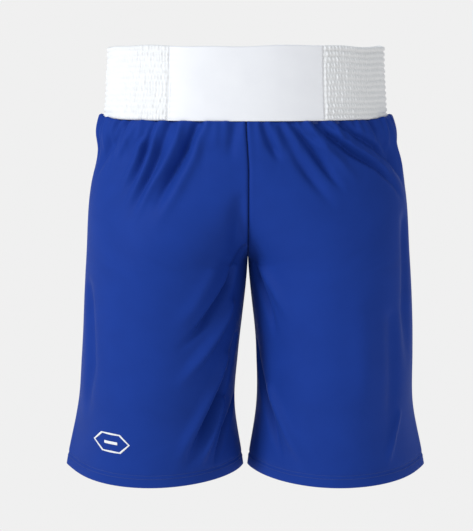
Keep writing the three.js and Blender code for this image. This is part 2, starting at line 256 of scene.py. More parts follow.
RIGHT_SIDE_FOLDS = [
    ([(-52, 88), (-44, 118), (-30, 158)], -3.2, 6.5),
    ([(-24, 90), (-20, 120), (-12, 150)], -2.6, 5.5),
    ([(52, 88), (36, 128), (20, 172)], -3.8, 7.0),
    ([(30, 90), (20, 130), (8, 164)], 2.4, 7.0),
    ([(-44, 290), (-56, 380), (-48, 460)], -4.4, 14.0),
    ([(40, 220), (54, 320), (46, 420)], -4.6, 15.0),
]
side_count = len(LEFT_SIDE_FOLDS + RIGHT_SIDE_FOLDS)
print(f"folds: {len(FRONT_FOLDS)} in front, {len(BACK_FOLDS)} behind, {side_count} at the sides")


# %% [markdown]
# A fold could be sculpted with a brush, and a brush can't be read or changed later. So its height
# at a point comes from how far the point is from the route: a bell curve makes the section round,
# and the fold fades in and out at its ends, as a real one does.

# %% How the folds raise the cloth
FOLD_STRENGTH = 1.5
FOLD_SPREAD = 0.8
ROUTE_LIMIT = 0.995  # a route stays this share of the oval's half width from its centre, at most


def ease(t):
    """A smooth step from 0 to 1: 3 t^2 - 2 t^3."""
    t = np.clip(t, 0, 1)
    return t * t * (3 - 2 * t)


def bell(away, width):
    """A bell curve: e to the power of -(away / width)^2."""
    return np.exp(-((away / width) ** 2))


def fold_route(route, way):
    """The route laid on the left half's form, with its missing number from the oval at that place."""
    across, drop = MM * np.array(route, float).T
    half, centre, front, back, _ = oval(drop)
    if way == 0:
        depth = np.where(across < 0, front, back)
        out = centre + half * np.sqrt(1 - (across / depth) ** 2)
        return np.stack([out, across, -drop], -1)
    share = np.clip((np.abs(across) - centre) / half, -ROUTE_LIMIT, ROUTE_LIMIT)
    depth = np.where(way < 0, front, back)
    return np.stack([np.abs(across), way * depth * np.sqrt(1 - share**2), -drop], -1)


def fold_height(points, route, height, width):
    """A bell curve of the distance to the route, times a fade near both of its ends."""
    ends = np.linalg.norm(np.diff(route, axis=0), axis=1)
    before = np.concatenate([[0], np.cumsum(ends)])
    nearest = np.full(points.shape[:-1], np.inf)
    share = np.zeros(points.shape[:-1])
    for start, end, size, gone in zip(route[:-1], route[1:], ends, before):
        along = np.clip((points - start) @ (end - start) / size**2, 0, 1)
        away = np.linalg.norm(points - start - along[..., None] * (end - start), axis=-1)
        closer = away < nearest
        nearest = np.where(closer, away, nearest)
        share = np.where(closer, (gone + along * size) / before[-1], share)
    fade = ease((share + 0.25) / 0.4) * ease((1 - share) / 0.5)
    return FOLD_STRENGTH * height * MM * bell(nearest, FOLD_SPREAD * width * MM) * fade


def all_folds(points, side):
    """The sum of the folds on one side: in front and behind, the wearer's right is less than 0."""
    total = np.zeros(points.shape[:-1])
    for folds, way in ((FRONT_FOLDS, -1), (BACK_FOLDS, 1)):
        for route, height, width in folds:
            if (route[-1][0] > 0) == (side == "left"):
                total += fold_height(points, fold_route(route, way), height, width)
    for route, height, width in LEFT_SIDE_FOLDS if side == "left" else RIGHT_SIDE_FOLDS:
        total += fold_height(points, fold_route(route, 0), height, width)
    return total


# %% [markdown]
# ## Gathers
# The cloth is longer than the relaxed elastic, so it puckers where the two are sewn, rolls out from
# under the band, and stands up in a small ruffle at the sides. These folds are too many to lay one
# by one, so they are a sum of three waves whose lengths don't divide each other.

# %% Gathers below the band
# A height is followed by the drop over which it fades, after the one over which it rises, if any.
GATHER_WAVES = [(9 * MM, 0.5), (15 * MM, 0.9), (29 * MM, 0.7)]  # lengths and strengths
GATHER_HEIGHT, GATHER_START, GATHER_FADE = 1.4 * MM, 4 * MM, 20 * MM
WAIST_TO_SIDE = 220 * MM  # a quarter of the way round
PHASES = {"left": (0.4, 2.1, 4.4), "right": (1.7, 0.2, 3.1)}
ROLL_HEIGHT, ROLL_START, ROLL_FADE = 7 * MM, 2.5 * MM, 15 * MM
BAND_TUCK, BAND_TUCK_FADE = 1.2 * MM, 1.2 * MM
RUFFLE_HEIGHT, RUFFLE_WAVES, RUFFLE_AT_SIDE = 1.6 * MM, 0.64 * MM, 3.2 * MM
RUFFLE_DROP = 5 * MM


def below_band(drop):
    return np.maximum(drop - BAND_HEIGHT, 0)


def gather_waves(turn, side):
    """The sum of three sines of the way round, each with its own length, strength and phase."""
    around = turn * WAIST_TO_SIDE
    return sum(
        size * np.sin(2 * np.pi * around / length + phase)
        for (length, size), phase in zip(GATHER_WAVES, PHASES[side])
    )


def gathers(turn, drop, side):
    """The waves, which rise just below the band, fade further down and are weakest in front."""
    below = below_band(drop)
    sides = 0.75 + 0.25 * ease((turn - 0.3) / 0.5)
    waves = gather_waves(turn, side) * np.exp(-below / GATHER_FADE) * ease(below / GATHER_START)
    return GATHER_HEIGHT * sides * waves


def roll(turn, drop):
    """The cloth comes out from under the band and rolls over: a steep rise times a slow fade. It
    is low in front and has its full height from the sides backwards."""
    below = below_band(drop)
    sides = 0.2 + 0.8 * ease((turn - 0.45) / 0.5)
    bulge = (1 - np.exp(-below / ROLL_START)) * np.exp(-below / ROLL_FADE)
    return ROLL_HEIGHT * sides * bulge - BAND_TUCK * np.exp(-below / BAND_TUCK_FADE)


def ruffle(turn, drop, side):
    """How far the cloth is pushed up: a bump just below the band, high at the side seam."""
    share = below_band(drop) / RUFFLE_DROP
    bump = share * np.exp(1 - share)
    waves = RUFFLE_WAVES * gather_waves(turn, side)
    return (RUFFLE_HEIGHT + waves + RUFFLE_AT_SIDE * bell(turn - 1, 0.2)) * bump


at_side = ruffle(np.array(1.0), BAND_HEIGHT + RUFFLE_DROP, "left")
print(f"the ruffle stands {at_side / MM:.1f} mm high at the side seam")

# %% [markdown]
# ## Seams, hem and creases
# At every seam the cloth dips and then turns in, because the raw edges are inside. At the hem the
# stitches draw it into a groove, and lower down each leg keeps the creases of a folded garment.
# Each of these depends only on how far a point is from a line, so each is one short formula.

# %% What the sewing does to the cloth
SEAM_DIP, SEAM_DIP_WIDTH = 1.0 * MM, 2.2 * MM
SEAM_TUCK, SEAM_TUCK_WIDTH = 2.4 * MM, 0.5 * MM
HEM_GROOVE, HEM_GROOVE_WIDTH = 0.8 * MM, 1.6 * MM
CREASE_START, CREASE_EASE = 400 * MM, 110 * MM
SIDE_HOLLOW, SIDE_FLARE = 8 * MM, 4.5 * MM
INNER_HOLLOW, INNER_FLARE = 5 * MM, 3 * MM
SLOW_WAVES, FLUTES = 1.0 * MM, 1.4 * MM


def inner_distance(turn, drop):
    """Roughly how far a point is from the nearer inner edge: an arc of its oval."""
    half, _, _, _, inner = oval(drop)
    return np.minimum(turn, 2 - turn) * inner * half


def side_distance(turn, drop):
    """Roughly how far a point is from the side seam."""
    _, _, front, _, inner = oval(drop)
    return np.abs(turn - 1) * inner * front


def seam_dip(away):
    """A shallow dip beside the seam, and a sharp turn inwards right at it."""
    return -SEAM_DIP * bell(away, SEAM_DIP_WIDTH) - SEAM_TUCK * np.exp(-away / SEAM_TUCK_WIDTH)


def hem_pull(turn, drop, side):
    """A fine groove at the hem's stitches, deeper and shallower by turns where the knit puckers."""
    shift = 0.5 if side == "left" else 2.9
    puckers = 1 + 0.5 * np.sin(turn * 95 + shift) * np.sin(turn * 41 + shift)
    return -HEM_GROOVE * bell(drop - (LENGTH - HEM_HEIGHT), HEM_GROOVE_WIDTH) * puckers


def creases(turn, drop):
    """Low down the legs stand out along their edges, and lie hollow beside them."""
    side = np.abs(turn - 1) * np.pi / 0.5
    inner = np.minimum(turn, 2 - turn) * np.pi / 0.55
    hollow = SIDE_HOLLOW * side * np.exp(1 - side) + INNER_HOLLOW * inner * np.exp(1 - inner)
    flare = SIDE_FLARE * np.exp(-side) + INNER_FLARE * np.exp(-inner)
    return ease((drop - CREASE_START) / CREASE_EASE) * (flare - hollow)


def unevenness(turn, drop, side):
    """Products of slow sines, so that no stretch of cloth is a perfect surface."""
    shift = 1.3 if side == "left" else 4.1
    slow = np.sin(7 * turn + 9 * drop + shift) * np.sin(19 * drop - 3 * turn + shift)
    flutes = np.sin(11 * turn + 2 * shift) * ease((drop - CROTCH_DROP) / 0.2)
    return SLOW_WAVES * slow + FLUTES * flutes


print(f"a seam lies {-seam_dip(0) / MM:.1f} mm below the cloth beside it")

# %% [markdown]
# ## The finished cloth
# All of this is added up along the form's normal, so one function gives a point of the finished
# cloth. A Displace modifier could do the same to a mesh, but only this mesh: the stitches, the
# allowances and the badge ask the same function where the cloth is, and so they lie on it.

# %% A point of the cloth
SEAM_HOLD = 6 * MM  # how far a seam holds the cloth beside it flat
SEAM_PLANE = 4 * MM  # how far from the centre seam the cloth turns into the middle plane
CROTCH_EASE = 16 * MM
LEAN = 3 * MM


def relief(turn, drop, side):
    """All that lifts the cloth off the form. At a seam only the seam's own dip is left."""
    to_side, to_inner = side_distance(turn, drop), inner_distance(turn, drop)
    free = 1 - bell(np.minimum(to_side, to_inner), SEAM_HOLD)
    off_crotch = 1 - bell(drop - CROTCH_DROP, CROTCH_EASE)
    dip = seam_dip(to_side) + seam_dip(to_inner) * off_crotch
    loose = gathers(turn, drop, side) + unevenness(turn, drop, side)
    height = all_folds(form_point(turn, drop), side) + loose
    near_leg = 1 - ease(np.minimum(turn, 2 - turn) / 0.1)
    height = np.where(height > 0, height * (1 - 0.8 * near_leg), height)
    edges = creases(turn, drop) + roll(turn, drop) + hem_pull(turn, drop, side)
    return free * height + dip + edges


def lean(drop):
    """The whole garment hangs a little towards the wearer's left between waist and knee."""
    return LEAN * ease((drop - BAND_HEIGHT) / (60 * MM)) * (1 - ease((drop - 330 * MM) / (130 * MM)))


def cloth_point(turn, drop, side, inset=0.0):
    """A finished point of the cloth: the form, plus its normal times the relief less the inset.
    Beside the centre seam the normal turns into the middle plane, so that the seam stays shut."""
    turn, drop = np.broadcast_arrays(np.asarray(turn, float), np.asarray(drop, float))
    height = relief(turn, drop, side) - inset
    normal = outward(turn, drop)
    in_plane = bell(inner_distance(turn, drop), SEAM_PLANE) * (drop < CROTCH_DROP)
    normal[..., 0] *= 1 - in_plane
    points = form_point(turn, drop) + unit(normal) * np.asarray(height)[..., None]
    points[..., 0] = np.maximum(points[..., 0], SEAM_GAP / 2)
    points[..., 2] += ruffle(turn, drop, side)
    if side == "right":
        points = points * np.array([-1, 1, 1])
    points[..., 0] += lean(drop)
    return points


print("the left hem's middle in front is at", cloth_point(0.5, LENGTH, "left").round(3))


# %% [markdown]
# ## From arrays to meshes
# Every piece is a grid of points. Adding them one by one, as bmesh does, would take minutes, so one
# helper hands Blender the whole array at once. It joins neighbours into quads, and turns them round
# where a half was mirrored, so that they still face outwards.

# %% Mesh helpers
def make_mesh(name, points, faces, uv=None):
    """A mesh from an array of points and a list of face arrays, each with its own corner count."""
    mesh = bpy.data.meshes.new(name)
    corners = np.concatenate([f.ravel() for f in faces]).astype(np.int32)
    sizes = np.concatenate([np.full(len(f), f.shape[1]) for f in faces])
    starts = np.concatenate([[0], np.cumsum(sizes)[:-1]]).astype(np.int32)
    mesh.vertices.add(len(points))
    mesh.vertices.foreach_set("co", points.astype(np.float32).ravel())
    mesh.loops.add(len(corners))
    mesh.loops.foreach_set("vertex_index", corners)
    mesh.polygons.add(len(starts))
    mesh.polygons.foreach_set("loop_start", starts)
    mesh.polygons.foreach_set("use_smooth", np.ones(len(starts), bool))
    if uv is not None:
        layer = mesh.uv_layers.new(name="cloth")
        layer.data.foreach_set("uv", uv[corners].astype(np.float32).ravel())
    mesh.update(calc_edges=True)
    mesh.validate()
    piece = bpy.data.objects.new(name, mesh)
    bpy.context.scene.collection.objects.link(piece)
    return piece


def grid_faces(rows, columns, around=False, flip=False):
    """The quads of a grid, each between a point, the next one down and their right neighbours."""
    index = np.arange(rows * columns).reshape(rows, columns)
    if around:
        index = np.hstack([index, index[:, :1]])
    a, b, c, d = index[:-1, :-1], index[1:, :-1], index[1:, 1:], index[:-1, 1:]
    quads = np.stack([a, b, c, d], -1).reshape(-1, 4)
    return quads[:, ::-1] if flip else quads


def sheet_piece(name, points, uv, flip=False, thickness=CLOTH):
    """An open grid, given a wall on its inner side by Solidify unless its thickness is None."""
    rows, columns = points.shape[:2]
    faces = grid_faces(rows, columns, flip=flip)
    piece = make_mesh(name, points.reshape(-1, 3), [faces], uv.reshape(-1, 2))
    if thickness is None:
        return piece
    wall = piece.modifiers.new("thickness", "SOLIDIFY")
    wall.thickness = thickness
    wall.offset = -1
    return piece


def tube_piece(name, points, closed=False):
    """Rings of points joined into a tube. Its ends are capped, or joined if it is closed."""
    rings, around = points.shape[:2]
    if closed:
        points = np.concatenate([points, points[:1]])
        faces = grid_faces(rings + 1, around, around=True) % (rings * around)
        return make_mesh(name, points[:-1].reshape(-1, 3), [faces])
    faces = grid_faces(rings, around, around=True)
    first = np.arange(around)[None, :]
    last = first[:, ::-1] + (rings - 1) * around
    return make_mesh(name, points.reshape(-1, 3), [faces, first, last])


def face_outwards(piece):
    """Turns a closed mesh's faces round, if its volume comes out negative."""
    mesh = piece.data
    mesh.calc_loop_triangles()
    corners = np.zeros(len(mesh.loop_triangles) * 3, np.int32)
    mesh.loop_triangles.foreach_get("vertices", corners)
    points = np.zeros(len(mesh.vertices) * 3, np.float32)
    mesh.vertices.foreach_get("co", points)
    a, b, c = np.moveaxis(points.reshape(-1, 3)[corners.reshape(-1, 3)].astype(float), 1, 0)
    if (a * np.cross(b, c)).sum() < 0:
        mesh.flip_normals()
    return piece


# %% [markdown]
# ## A small language for materials
# A shader is a sum of patterns. It could be wired up node by node, but it reads best as arithmetic.
# Wire holds one socket, and adding or multiplying wires adds the Math nodes. Paint holds the tree,
# of a material or of the world, and makes every other node.

# %% Materials as expressions
class Wire:
    """One output socket of a material, with arithmetic."""

    def __init__(self, paint, socket):
        self.paint = paint
        self.socket = socket

    def math(self, operation, *values):
        return self.paint.node("ShaderNodeMath", dict(enumerate(values)), operation=operation)

    def __add__(self, other):
        return self.math("ADD", self, other)

    def __mul__(self, other):
        return self.math("MULTIPLY", self, other)

    __radd__ = __add__
    __rmul__ = __mul__

    def wave(self, length):
        """A sine of this wire, from -1 to 1, that repeats each length."""
        return self.math("SINE", self * (2 * math.pi / length))


class Paint:
    """A material or a world under construction, and the node that it ends in."""

    def __init__(self, holder, last="Principled BSDF"):
        holder.use_nodes = True
        self.holder = holder
        self.tree = holder.node_tree
        self.last = self.tree.nodes[last]

    def node(self, kind, inputs, output=0, **settings):
        """Any other node. Its inputs are named or counted, and each is a wire or a value."""
        made = self.tree.nodes.new(kind)
        for name, value in settings.items():
            setattr(made, name, value)
        for name, value in inputs.items():
            self.feed(made.inputs[name], value)
        return Wire(self, made.outputs[output])

    def feed(self, socket, value):
        if isinstance(value, Wire):
            self.tree.links.new(value.socket, socket)
        else:
            socket.default_value = value

    def set(self, **values):
        """Feeds the last node. A socket's name is written with _ for each space."""
        for name, value in values.items():
            self.feed(self.last.inputs[name.replace("_", " ")], value)

    def blend_colours(self, share, first, second):
        """A Mix node. Counted from 0, its colours are its inputs 6 and 7 and its output 2."""
        inputs = {0: share, 6: (*first, 1), 7: (*second, 1)}
        return self.node("ShaderNodeMix", inputs, output=2, data_type="RGBA")

    def relief(self, height, distance, strength):
        inputs = {"Height": height, "Distance": distance, "Strength": strength}
        self.set(Normal=self.node("ShaderNodeBump", inputs))

    def axes(self, place):
        """The place itself, and its three numbers as wires."""
        return place, *[self.node("ShaderNodeSeparateXYZ", {0: place}, output=i) for i in range(3)]

    def cloth_axes(self):
        return self.axes(self.node("ShaderNodeUVMap", {}, uv_map="cloth"))[:3]

    def object_axes(self):
        return self.axes(self.node("ShaderNodeTexCoord", {}, output="Object"))

    def noise(self, place, scale, detail=3.0):
        inputs = {"Vector": place, "Scale": scale, "Detail": detail}
        return self.node("ShaderNodeTexNoise", inputs)


# %% [markdown]
# ## Finishes
# The knit is a smooth sports jersey: ribs less than a millimetre wide, a soft sheen where light
# grazes it, and a colour that is never quite even. Its loops are too small to model, so two crossed
# waves along the cloth's own axes raise them as a bump and also darken its colour a little in their
# grooves, a painted shade. Noise breaks up the colour.

# %% Blue knit
def blue_knit():
    paint = Paint(bpy.data.materials.new("blue_knit"))
    place, across, down = paint.cloth_axes()
    patches = paint.noise(place, 26.0)
    fibres = paint.noise(place, 1400.0, 2.0)
    wales = across.wave(0.9 * MM)
    courses = down.wave(0.7 * MM)
    loops = wales * 0.6 + wales * courses * 0.4
    # patches and fibres are random tone; the loops term darkens the knit's grooves a little, a painted
    # shade
    tone_and_groove_shade = patches * 0.6 + fibres * 0.3 + loops * 0.05
    paint.set(
        Base_Color=paint.blend_colours(tone_and_groove_shade, (0.0092, 0.034, 0.220), (0.0122, 0.047, 0.300)),
        Roughness=0.50 + fibres * 0.16,
        Sheen_Weight=0.05,
        Sheen_Roughness=0.45,
        Sheen_Tint=(0.2, 0.4, 1.0, 1.0),
        IOR=1.13,
    )
    paint.relief(loops * 0.5 + fibres * 0.5, 0.08 * MM, 0.5)
    return paint.holder


# %% [markdown]
# The band's front is satin, closely woven with a soft gloss. Its shirred part is the same white
# but matt, since its gathers scatter the light, and the elastic inside has wide flat ribs. All
# three are waves on the cloth's own axes again, so the weave follows every fold and never slides.

# %% Whites
def white_satin():
    paint = Paint(bpy.data.materials.new("white_satin"))
    place, across, down = paint.cloth_axes()
    twill = (across + down).wave(0.6 * MM)
    clouds = paint.noise(place, 30.0)
    paint.set(
        Base_Color=paint.blend_colours(clouds, (0.78, 0.78, 0.81), (0.85, 0.85, 0.87)),
        Roughness=0.36 + clouds * 0.14,
        Sheen_Weight=0.1,
    )
    paint.relief(twill * 0.5 + clouds, 0.05 * MM, 0.35)
    return paint.holder


def white_shirring():
    paint = Paint(bpy.data.materials.new("white_shirring"))
    place, across, down = paint.cloth_axes()
    threads = across.wave(0.55 * MM) * 0.5 + down.wave(0.55 * MM) * 0.5
    fibres = paint.noise(place, 900.0, 2.0)
    paint.set(
        Base_Color=paint.blend_colours(fibres, (0.76, 0.76, 0.765), (0.85, 0.85, 0.85)),
        Roughness=0.62 + fibres * 0.2,
        Sheen_Weight=0.15,
    )
    paint.relief(threads + fibres, 0.06 * MM, 0.5)
    return paint.holder


def woven_elastic():
    paint = Paint(bpy.data.materials.new("woven_elastic"))
    _, across, down = paint.cloth_axes()
    ribs = down.wave(2.2 * MM)
    cross = across.wave(1.1 * MM)
    paint.set(
        Base_Color=paint.blend_colours(0.5 + 0.5 * ribs, (0.70, 0.70, 0.68), (0.82, 0.82, 0.80)),
        Roughness=0.78 + cross * 0.05,
    )
    paint.relief(ribs + cross * 0.5, 0.2 * MM, 0.6)
    return paint.holder


# %% [markdown]
# Thread is two yarns twisted together, and a label is woven tape. Each stitch is small, so the
# thread needs no axes of its own: its twist is a slanting wave in space.

# %% Thread and tape
def thread(name, dark, light):
    paint = Paint(bpy.data.materials.new(name))
    place, x, y, z = paint.object_axes()
    twist = (x + y + z).wave(0.5 * MM)
    fuzz = paint.noise(place, 1600.0, 2.0)
    paint.set(
        Base_Color=paint.blend_colours(0.5 + 0.3 * twist + fuzz * 0.2, dark, light),
        Roughness=0.5 + fuzz * 0.2,
        Sheen_Weight=0.06,
    )
    paint.relief(twist + fuzz, 0.08 * MM, 0.5)
    return paint.holder


def label_tape():
    paint = Paint(bpy.data.materials.new("label_tape"))
    _, across, down = paint.cloth_axes()
    weave = down.wave(0.5 * MM) * 0.7 + across.wave(0.4 * MM) * 0.3
    paint.set(
        Base_Color=paint.blend_colours(0.5 + 0.4 * weave, (0.56, 0.57, 0.60), (0.66, 0.67, 0.70)),
        Roughness=0.42 + 0.06 * weave,
    )
    paint.relief(weave, 0.05 * MM, 0.6)
    return paint.holder


BLUE_KNIT = blue_knit()
WHITE_SATIN = white_satin()
WHITE_SHIRRING = white_shirring()
WOVEN_ELASTIC = woven_elastic()
WHITE_THREAD = thread("white_thread", (0.74, 0.74, 0.75), (0.90, 0.90, 0.91))
BLUE_THREAD = thread("blue_thread", (0.010, 0.034, 0.19), (0.018, 0.062, 0.32))
LABEL_TAPE = label_tape()
print("materials:", len(bpy.data.materials))


def finish_as(piece, material, slot, *nodes, rides=None):
    """A piece's finish, the frame's nodes that it stands for, and the body that it moves with."""
    print(f"{piece.name}: {len(piece.data.polygons)} faces of {slot}")
    piece.data.materials.append(material)
    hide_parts(*nodes)
    if rides:
        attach(piece, rides)
    return piece


# %% [markdown]
# ## Where the cloth would bend
# Each leg swings at the hip. A split across the cloth would open there like a hinged plate, and
# real cloth bends over a wide zone, which would slant outwards on the way down so that the centre
# seam, which both legs share, stays still. Here the zone is only sized: bend works out its far end
# but doesn't use it, and only bakes a piece's placement into its points, so nothing bends.

# %% Bending zones
BEND_OUT = 65 * MM
BEND_DOWN = 130 * MM


def bend(piece, side):
    way = 1 if side == "left" else -1
    end = (way * BEND_OUT, 0, -CROTCH_DROP - BEND_DOWN)
    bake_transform(piece)


print(f"bending zone: {math.hypot(BEND_OUT, BEND_DOWN) / MM:.0f} mm long")


# %% [markdown]
# ## The four panels
# Each panel is one piece of knit from the band to the hem. At the hem it turns round a small fold
# and runs up inside, so the edge is really double, as it is on the shorts. The panel is one grid on
# the form, with its columns crowded where the cloth turns into a seam, and Solidify gives it its
# thickness.

# %% Cut and hang the panels
EVEN_COLUMNS = 136
EDGE_COLUMNS = np.array([0, 0.0012, 0.0027, 0.0046, 0.007, 0.011, 0.016])
PANEL_ROWS = 215
FOLD_ROWS = 6
TURN_UP_ROWS = 8
FOLD_RADIUS = 0.9 * MM
PANEL_START = {"front": 0, "back": 1}
BAND_LAP = 0.2 * MM


def panel_rows():
    """Drops and insets down the cloth, round the hem's fold, and up the inside."""
    shown = np.linspace(0, 1, PANEL_ROWS) ** 1.15
    top = BAND_HEIGHT + BAND_LAP
    outer = top + shown * (LENGTH - FOLD_RADIUS - top)
    bow = np.linspace(0, np.pi, FOLD_ROWS + 2)[1:-1]
    inner = np.linspace(LENGTH - FOLD_RADIUS, LENGTH - HEM_HEIGHT - 2 * MM, TURN_UP_ROWS)
    drops = np.concatenate([outer, LENGTH - FOLD_RADIUS * (1 - np.sin(bow)), inner])
    fold = FOLD_RADIUS * (1 - np.cos(bow))
    insets = np.concatenate([np.zeros(PANEL_ROWS), fold, np.full(TURN_UP_ROWS, 2 * FOLD_RADIUS)])
    return drops, insets


def panel_columns(start):
    """Even columns across the panel, crowded at both edges, where the cloth turns into a seam."""
    last = EDGE_COLUMNS[-1]
    even = np.linspace(last, 1 - last, EVEN_COLUMNS)[1:-1]
    return start + np.concatenate([EDGE_COLUMNS, even, 1 - EDGE_COLUMNS[::-1]])


def lengths_along(points, axis):
    """How far each point is from the first one, as the running sum of the steps between."""
    steps = np.linalg.norm(np.diff(points, axis=axis), axis=-1)
    total = np.cumsum(steps, axis=axis)
    first = np.zeros_like(np.take(total, [0], axis=axis))
    return np.concatenate([first, total], axis=axis)


def panel(side, half):
    """One sheet of the cloth, with its own lengths across and down as its UV map."""
    drops, insets = panel_rows()
    turns = panel_columns(PANEL_START[half])
    points = cloth_point(turns[None, :], drops[:, None], side, insets[:, None])
    middle = lengths_along(points[:, [len(turns) // 2]], 0)
    across = lengths_along(points, 1)
    uv = np.stack([across, np.broadcast_to(-middle, across.shape)], -1)
    piece = sheet_piece(f"{side}_{half}_panel", points, uv, flip=side == "right")
    nodes = [f"{side}_{half}_hip_panel", f"{side}_{half}_leg_panel"]
    finish_as(piece, BLUE_KNIT, "blue_knit", *nodes)
    bend(piece, side)
    steps = np.diff(points[:, :-1], axis=0), np.diff(points[:-1], axis=1)
    area = np.linalg.norm(np.cross(*steps), axis=-1).sum()
    print(f"{piece.name}: {area:.4f} m2, {across.max():.3f} m wide, {middle.max():.3f} m long")
    return piece


panels = {(side, half): panel(side, half) for side in ("left", "right") for half in ("front", "back")}
for side in ("left", "right"):
    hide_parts(f"{side}_hem_turn_up")


# %% [markdown]
# ## The waistband
# The band is a strip folded over its elastic: down the outside, round the top edge, down the
# inside. It could be a tube with a thick wall, but then its top edge would be sharp, and nothing
# would be inside it. So one function lays a strip round all three stretches, and both covers, the
# shirred one and the smooth one, come from it.

# %% Where the band lies
ROWS_OF_SHIRRING = sum(name.startswith("shirring_row") for name in frame["nodes"])
FRONT_ANGLE = -np.pi / 2
BAND_TOP_WIDTH = BAND_FOOT_WIDTH - BAND_FLARE
BAND_TOP_DEPTH = BAND_FOOT_DEPTH - BAND_FLARE
TOP_WAVER = 0.9 * MM
RAW_EDGE_DROP, RAW_EDGE_INSET = 0.2 * MM, 0.8 * MM
JOIN = math.asin(SMOOTH_PANEL_WIDTH / 2 / BAND_TOP_WIDTH)
FRONT_REACH = (FRONT_ANGLE - JOIN, FRONT_ANGLE + JOIN)
BACK_REACH = (FRONT_ANGLE + JOIN, FRONT_ANGLE - JOIN + 2 * np.pi)


def band_point(angle, drop, inset):
    """An oval that widens downwards, less the inset along its own level normal. Its top edge
    wavers by a millimetre, which fades down to the foot."""
    angle, drop, inset = np.broadcast_arrays(angle, drop, inset)
    share = np.clip(drop, 0, None) / BAND_HEIGHT
    flare = BAND_FLARE * share**1.6
    waver = TOP_WAVER * (np.sin(5 * angle + 1) + 0.5 * np.sin(13 * angle) - 1.2) * (1 - share)
    width, depth = BAND_TOP_WIDTH + flare, BAND_TOP_DEPTH + flare
    point = np.stack([width * np.cos(angle), depth * np.sin(angle), waver - drop], -1)
    normal = unit(np.stack([depth * np.cos(angle), width * np.sin(angle), 0 * angle], -1))
    return point - normal * inset[..., None]


def band_length(reach):
    """The length round the band between two angles, at half its height."""
    angles = np.linspace(*reach, 400)
    return lengths_along(band_point(angles, BAND_HEIGHT / 2, 0.0), 0)[-1]


def cover_rows(outer, inner):
    """Drops, insets and how far out the relief goes: up the outside, round the top, down inside."""
    radius = BAND_THICKNESS / 2
    bow = np.linspace(0, np.pi, 6)[1:-1]
    up = np.linspace(BAND_HEIGHT, radius, outer)
    down = np.linspace(0, BAND_HEIGHT, inner + 1)[1:]
    edge = [BAND_HEIGHT + RAW_EDGE_DROP]
    drops = np.concatenate([edge, up, radius * (1 - np.sin(bow)), down])
    round_top = radius * (1 - np.cos(bow))
    within = np.full(inner, BAND_THICKNESS)
    insets = np.concatenate([[RAW_EDGE_INSET], np.zeros(outer), round_top, within])
    outside = np.concatenate([[0], np.ones(outer), np.cos(bow), np.full(inner, -0.6)])
    return drops, insets, outside


def band_cover(name, reach, columns, rows, height, thickness):
    """A strip on the band, lifted by a height that depends on the place round and down."""
    drops, insets, outside = cover_rows(*rows)
    angles = np.linspace(*reach, columns)
    around = np.linspace(0, band_length(reach), columns)
    lift = height(around[None, :], drops[:, None]) * outside[:, None]
    points = band_point(angles[None, :], drops[:, None], insets[:, None] - lift)
    down = np.concatenate([[0], np.cumsum(np.hypot(np.diff(drops), np.diff(insets)))])
    across, along = np.broadcast_arrays(around[None, :], down[:, None])
    uv = np.stack([across, along], -1)
    return sheet_piece(name, points[::-1], uv[::-1], thickness=thickness)


print(f"band: {band_length(FRONT_REACH):.3f} m smooth, {band_length(BACK_REACH):.3f} m shirred")

# %% [markdown]
# Rows of stitches hold the stretched elastic to the shirred cloth. When the elastic relaxes, the
# cloth puffs up between the rows and puckers along them. A texture could show the rows, but their
# puffs shade each other and make the outline rough, so they are modelled: half a sine wave for each
# channel, and small puckers that drift and change size, since no gather is like the next.

# %% Shirred sides and back
GATHER_LENGTH = 3.6 * MM
PUFF_HEIGHT = 2.0 * MM
PUCKER_HEIGHT = 0.55 * MM
CHANNELS = ROWS_OF_SHIRRING + 1
PITCH = BAND_HEIGHT / CHANNELS
random = np.random.default_rng(7)
channel_phase = random.uniform(-1.2, 1.2, CHANNELS)
drift = np.cumsum(random.normal(0, 0.45, (CHANNELS, 500)), axis=1)
strength = 1 + 0.35 * random.normal(0, 1, (CHANNELS, 260)).clip(-2, 2)


def shirring(around, drop):
    """Channels puffed as half sine waves. Each has its own puckers, which drift and vary in size,
    and which lean a little, as the cloth of one channel pulls on the next."""
    total = band_length(BACK_REACH)
    place = np.clip(drop / BAND_HEIGHT, 0, 0.99999) * CHANNELS
    channel = place.astype(int)
    puff = np.abs(np.sin(np.pi * place)) ** 0.6
    tables = []
    for table in (drift, strength):
        at = np.clip(around / total, 0, 1) * (table.shape[1] - 1.001)
        step = at.astype(int)
        share = at - step
        tables.append(table[channel, step] * (1 - share) + table[channel, step + 1] * share)
    wander, size = tables
    slant = 0.9 * np.sin(channel * 2.4) * (place - channel)
    phase = 2 * np.pi * around / GATHER_LENGTH + wander + channel_phase[channel] + slant
    pucker = size * (np.sin(phase) + 0.4 * np.sin(0.43 * phase + channel))
    free = ease((np.minimum(around, total - around) - 1 * MM) / (4 * MM))
    return free * (PUFF_HEIGHT * puff + PUCKER_HEIGHT * pucker * (0.3 + 0.7 * puff))


shirred = band_cover("shirred_band", BACK_REACH, 1180, (4 * CHANNELS + 1, 2 * CHANNELS), shirring, None)
finish_as(shirred, WHITE_SHIRRING, "white_shirring", "waistband_back_cover", rides="waist")
print(f"shirred band: {band_length(BACK_REACH):.3f} m round, {len(shirred.data.vertices)} points")

# %% [markdown]
# The smooth panel is stretched flat over stiff interlining, and its two ends lap over the shirring.
# A perfectly flat one would shine like plastic, so it has slow ripples, rounded edges, and small
# puckers where the shirring pulls at its ends.

# %% Smooth front panel
LAP = 2.5 * MM / BAND_TOP_WIDTH
FRONT_LIFT = 0.95 * MM
JOIN_PUCKER, JOIN_PUCKER_FADE = 0.28 * MM, 6 * MM
RIPPLE = 0.5 * MM
ROUNDED_END, ROUNDED_END_WIDTH = 0.35 * MM, 0.6 * MM
ROUNDED_FOOT, ROUNDED_FOOT_WIDTH = 0.5 * MM, 2 * MM


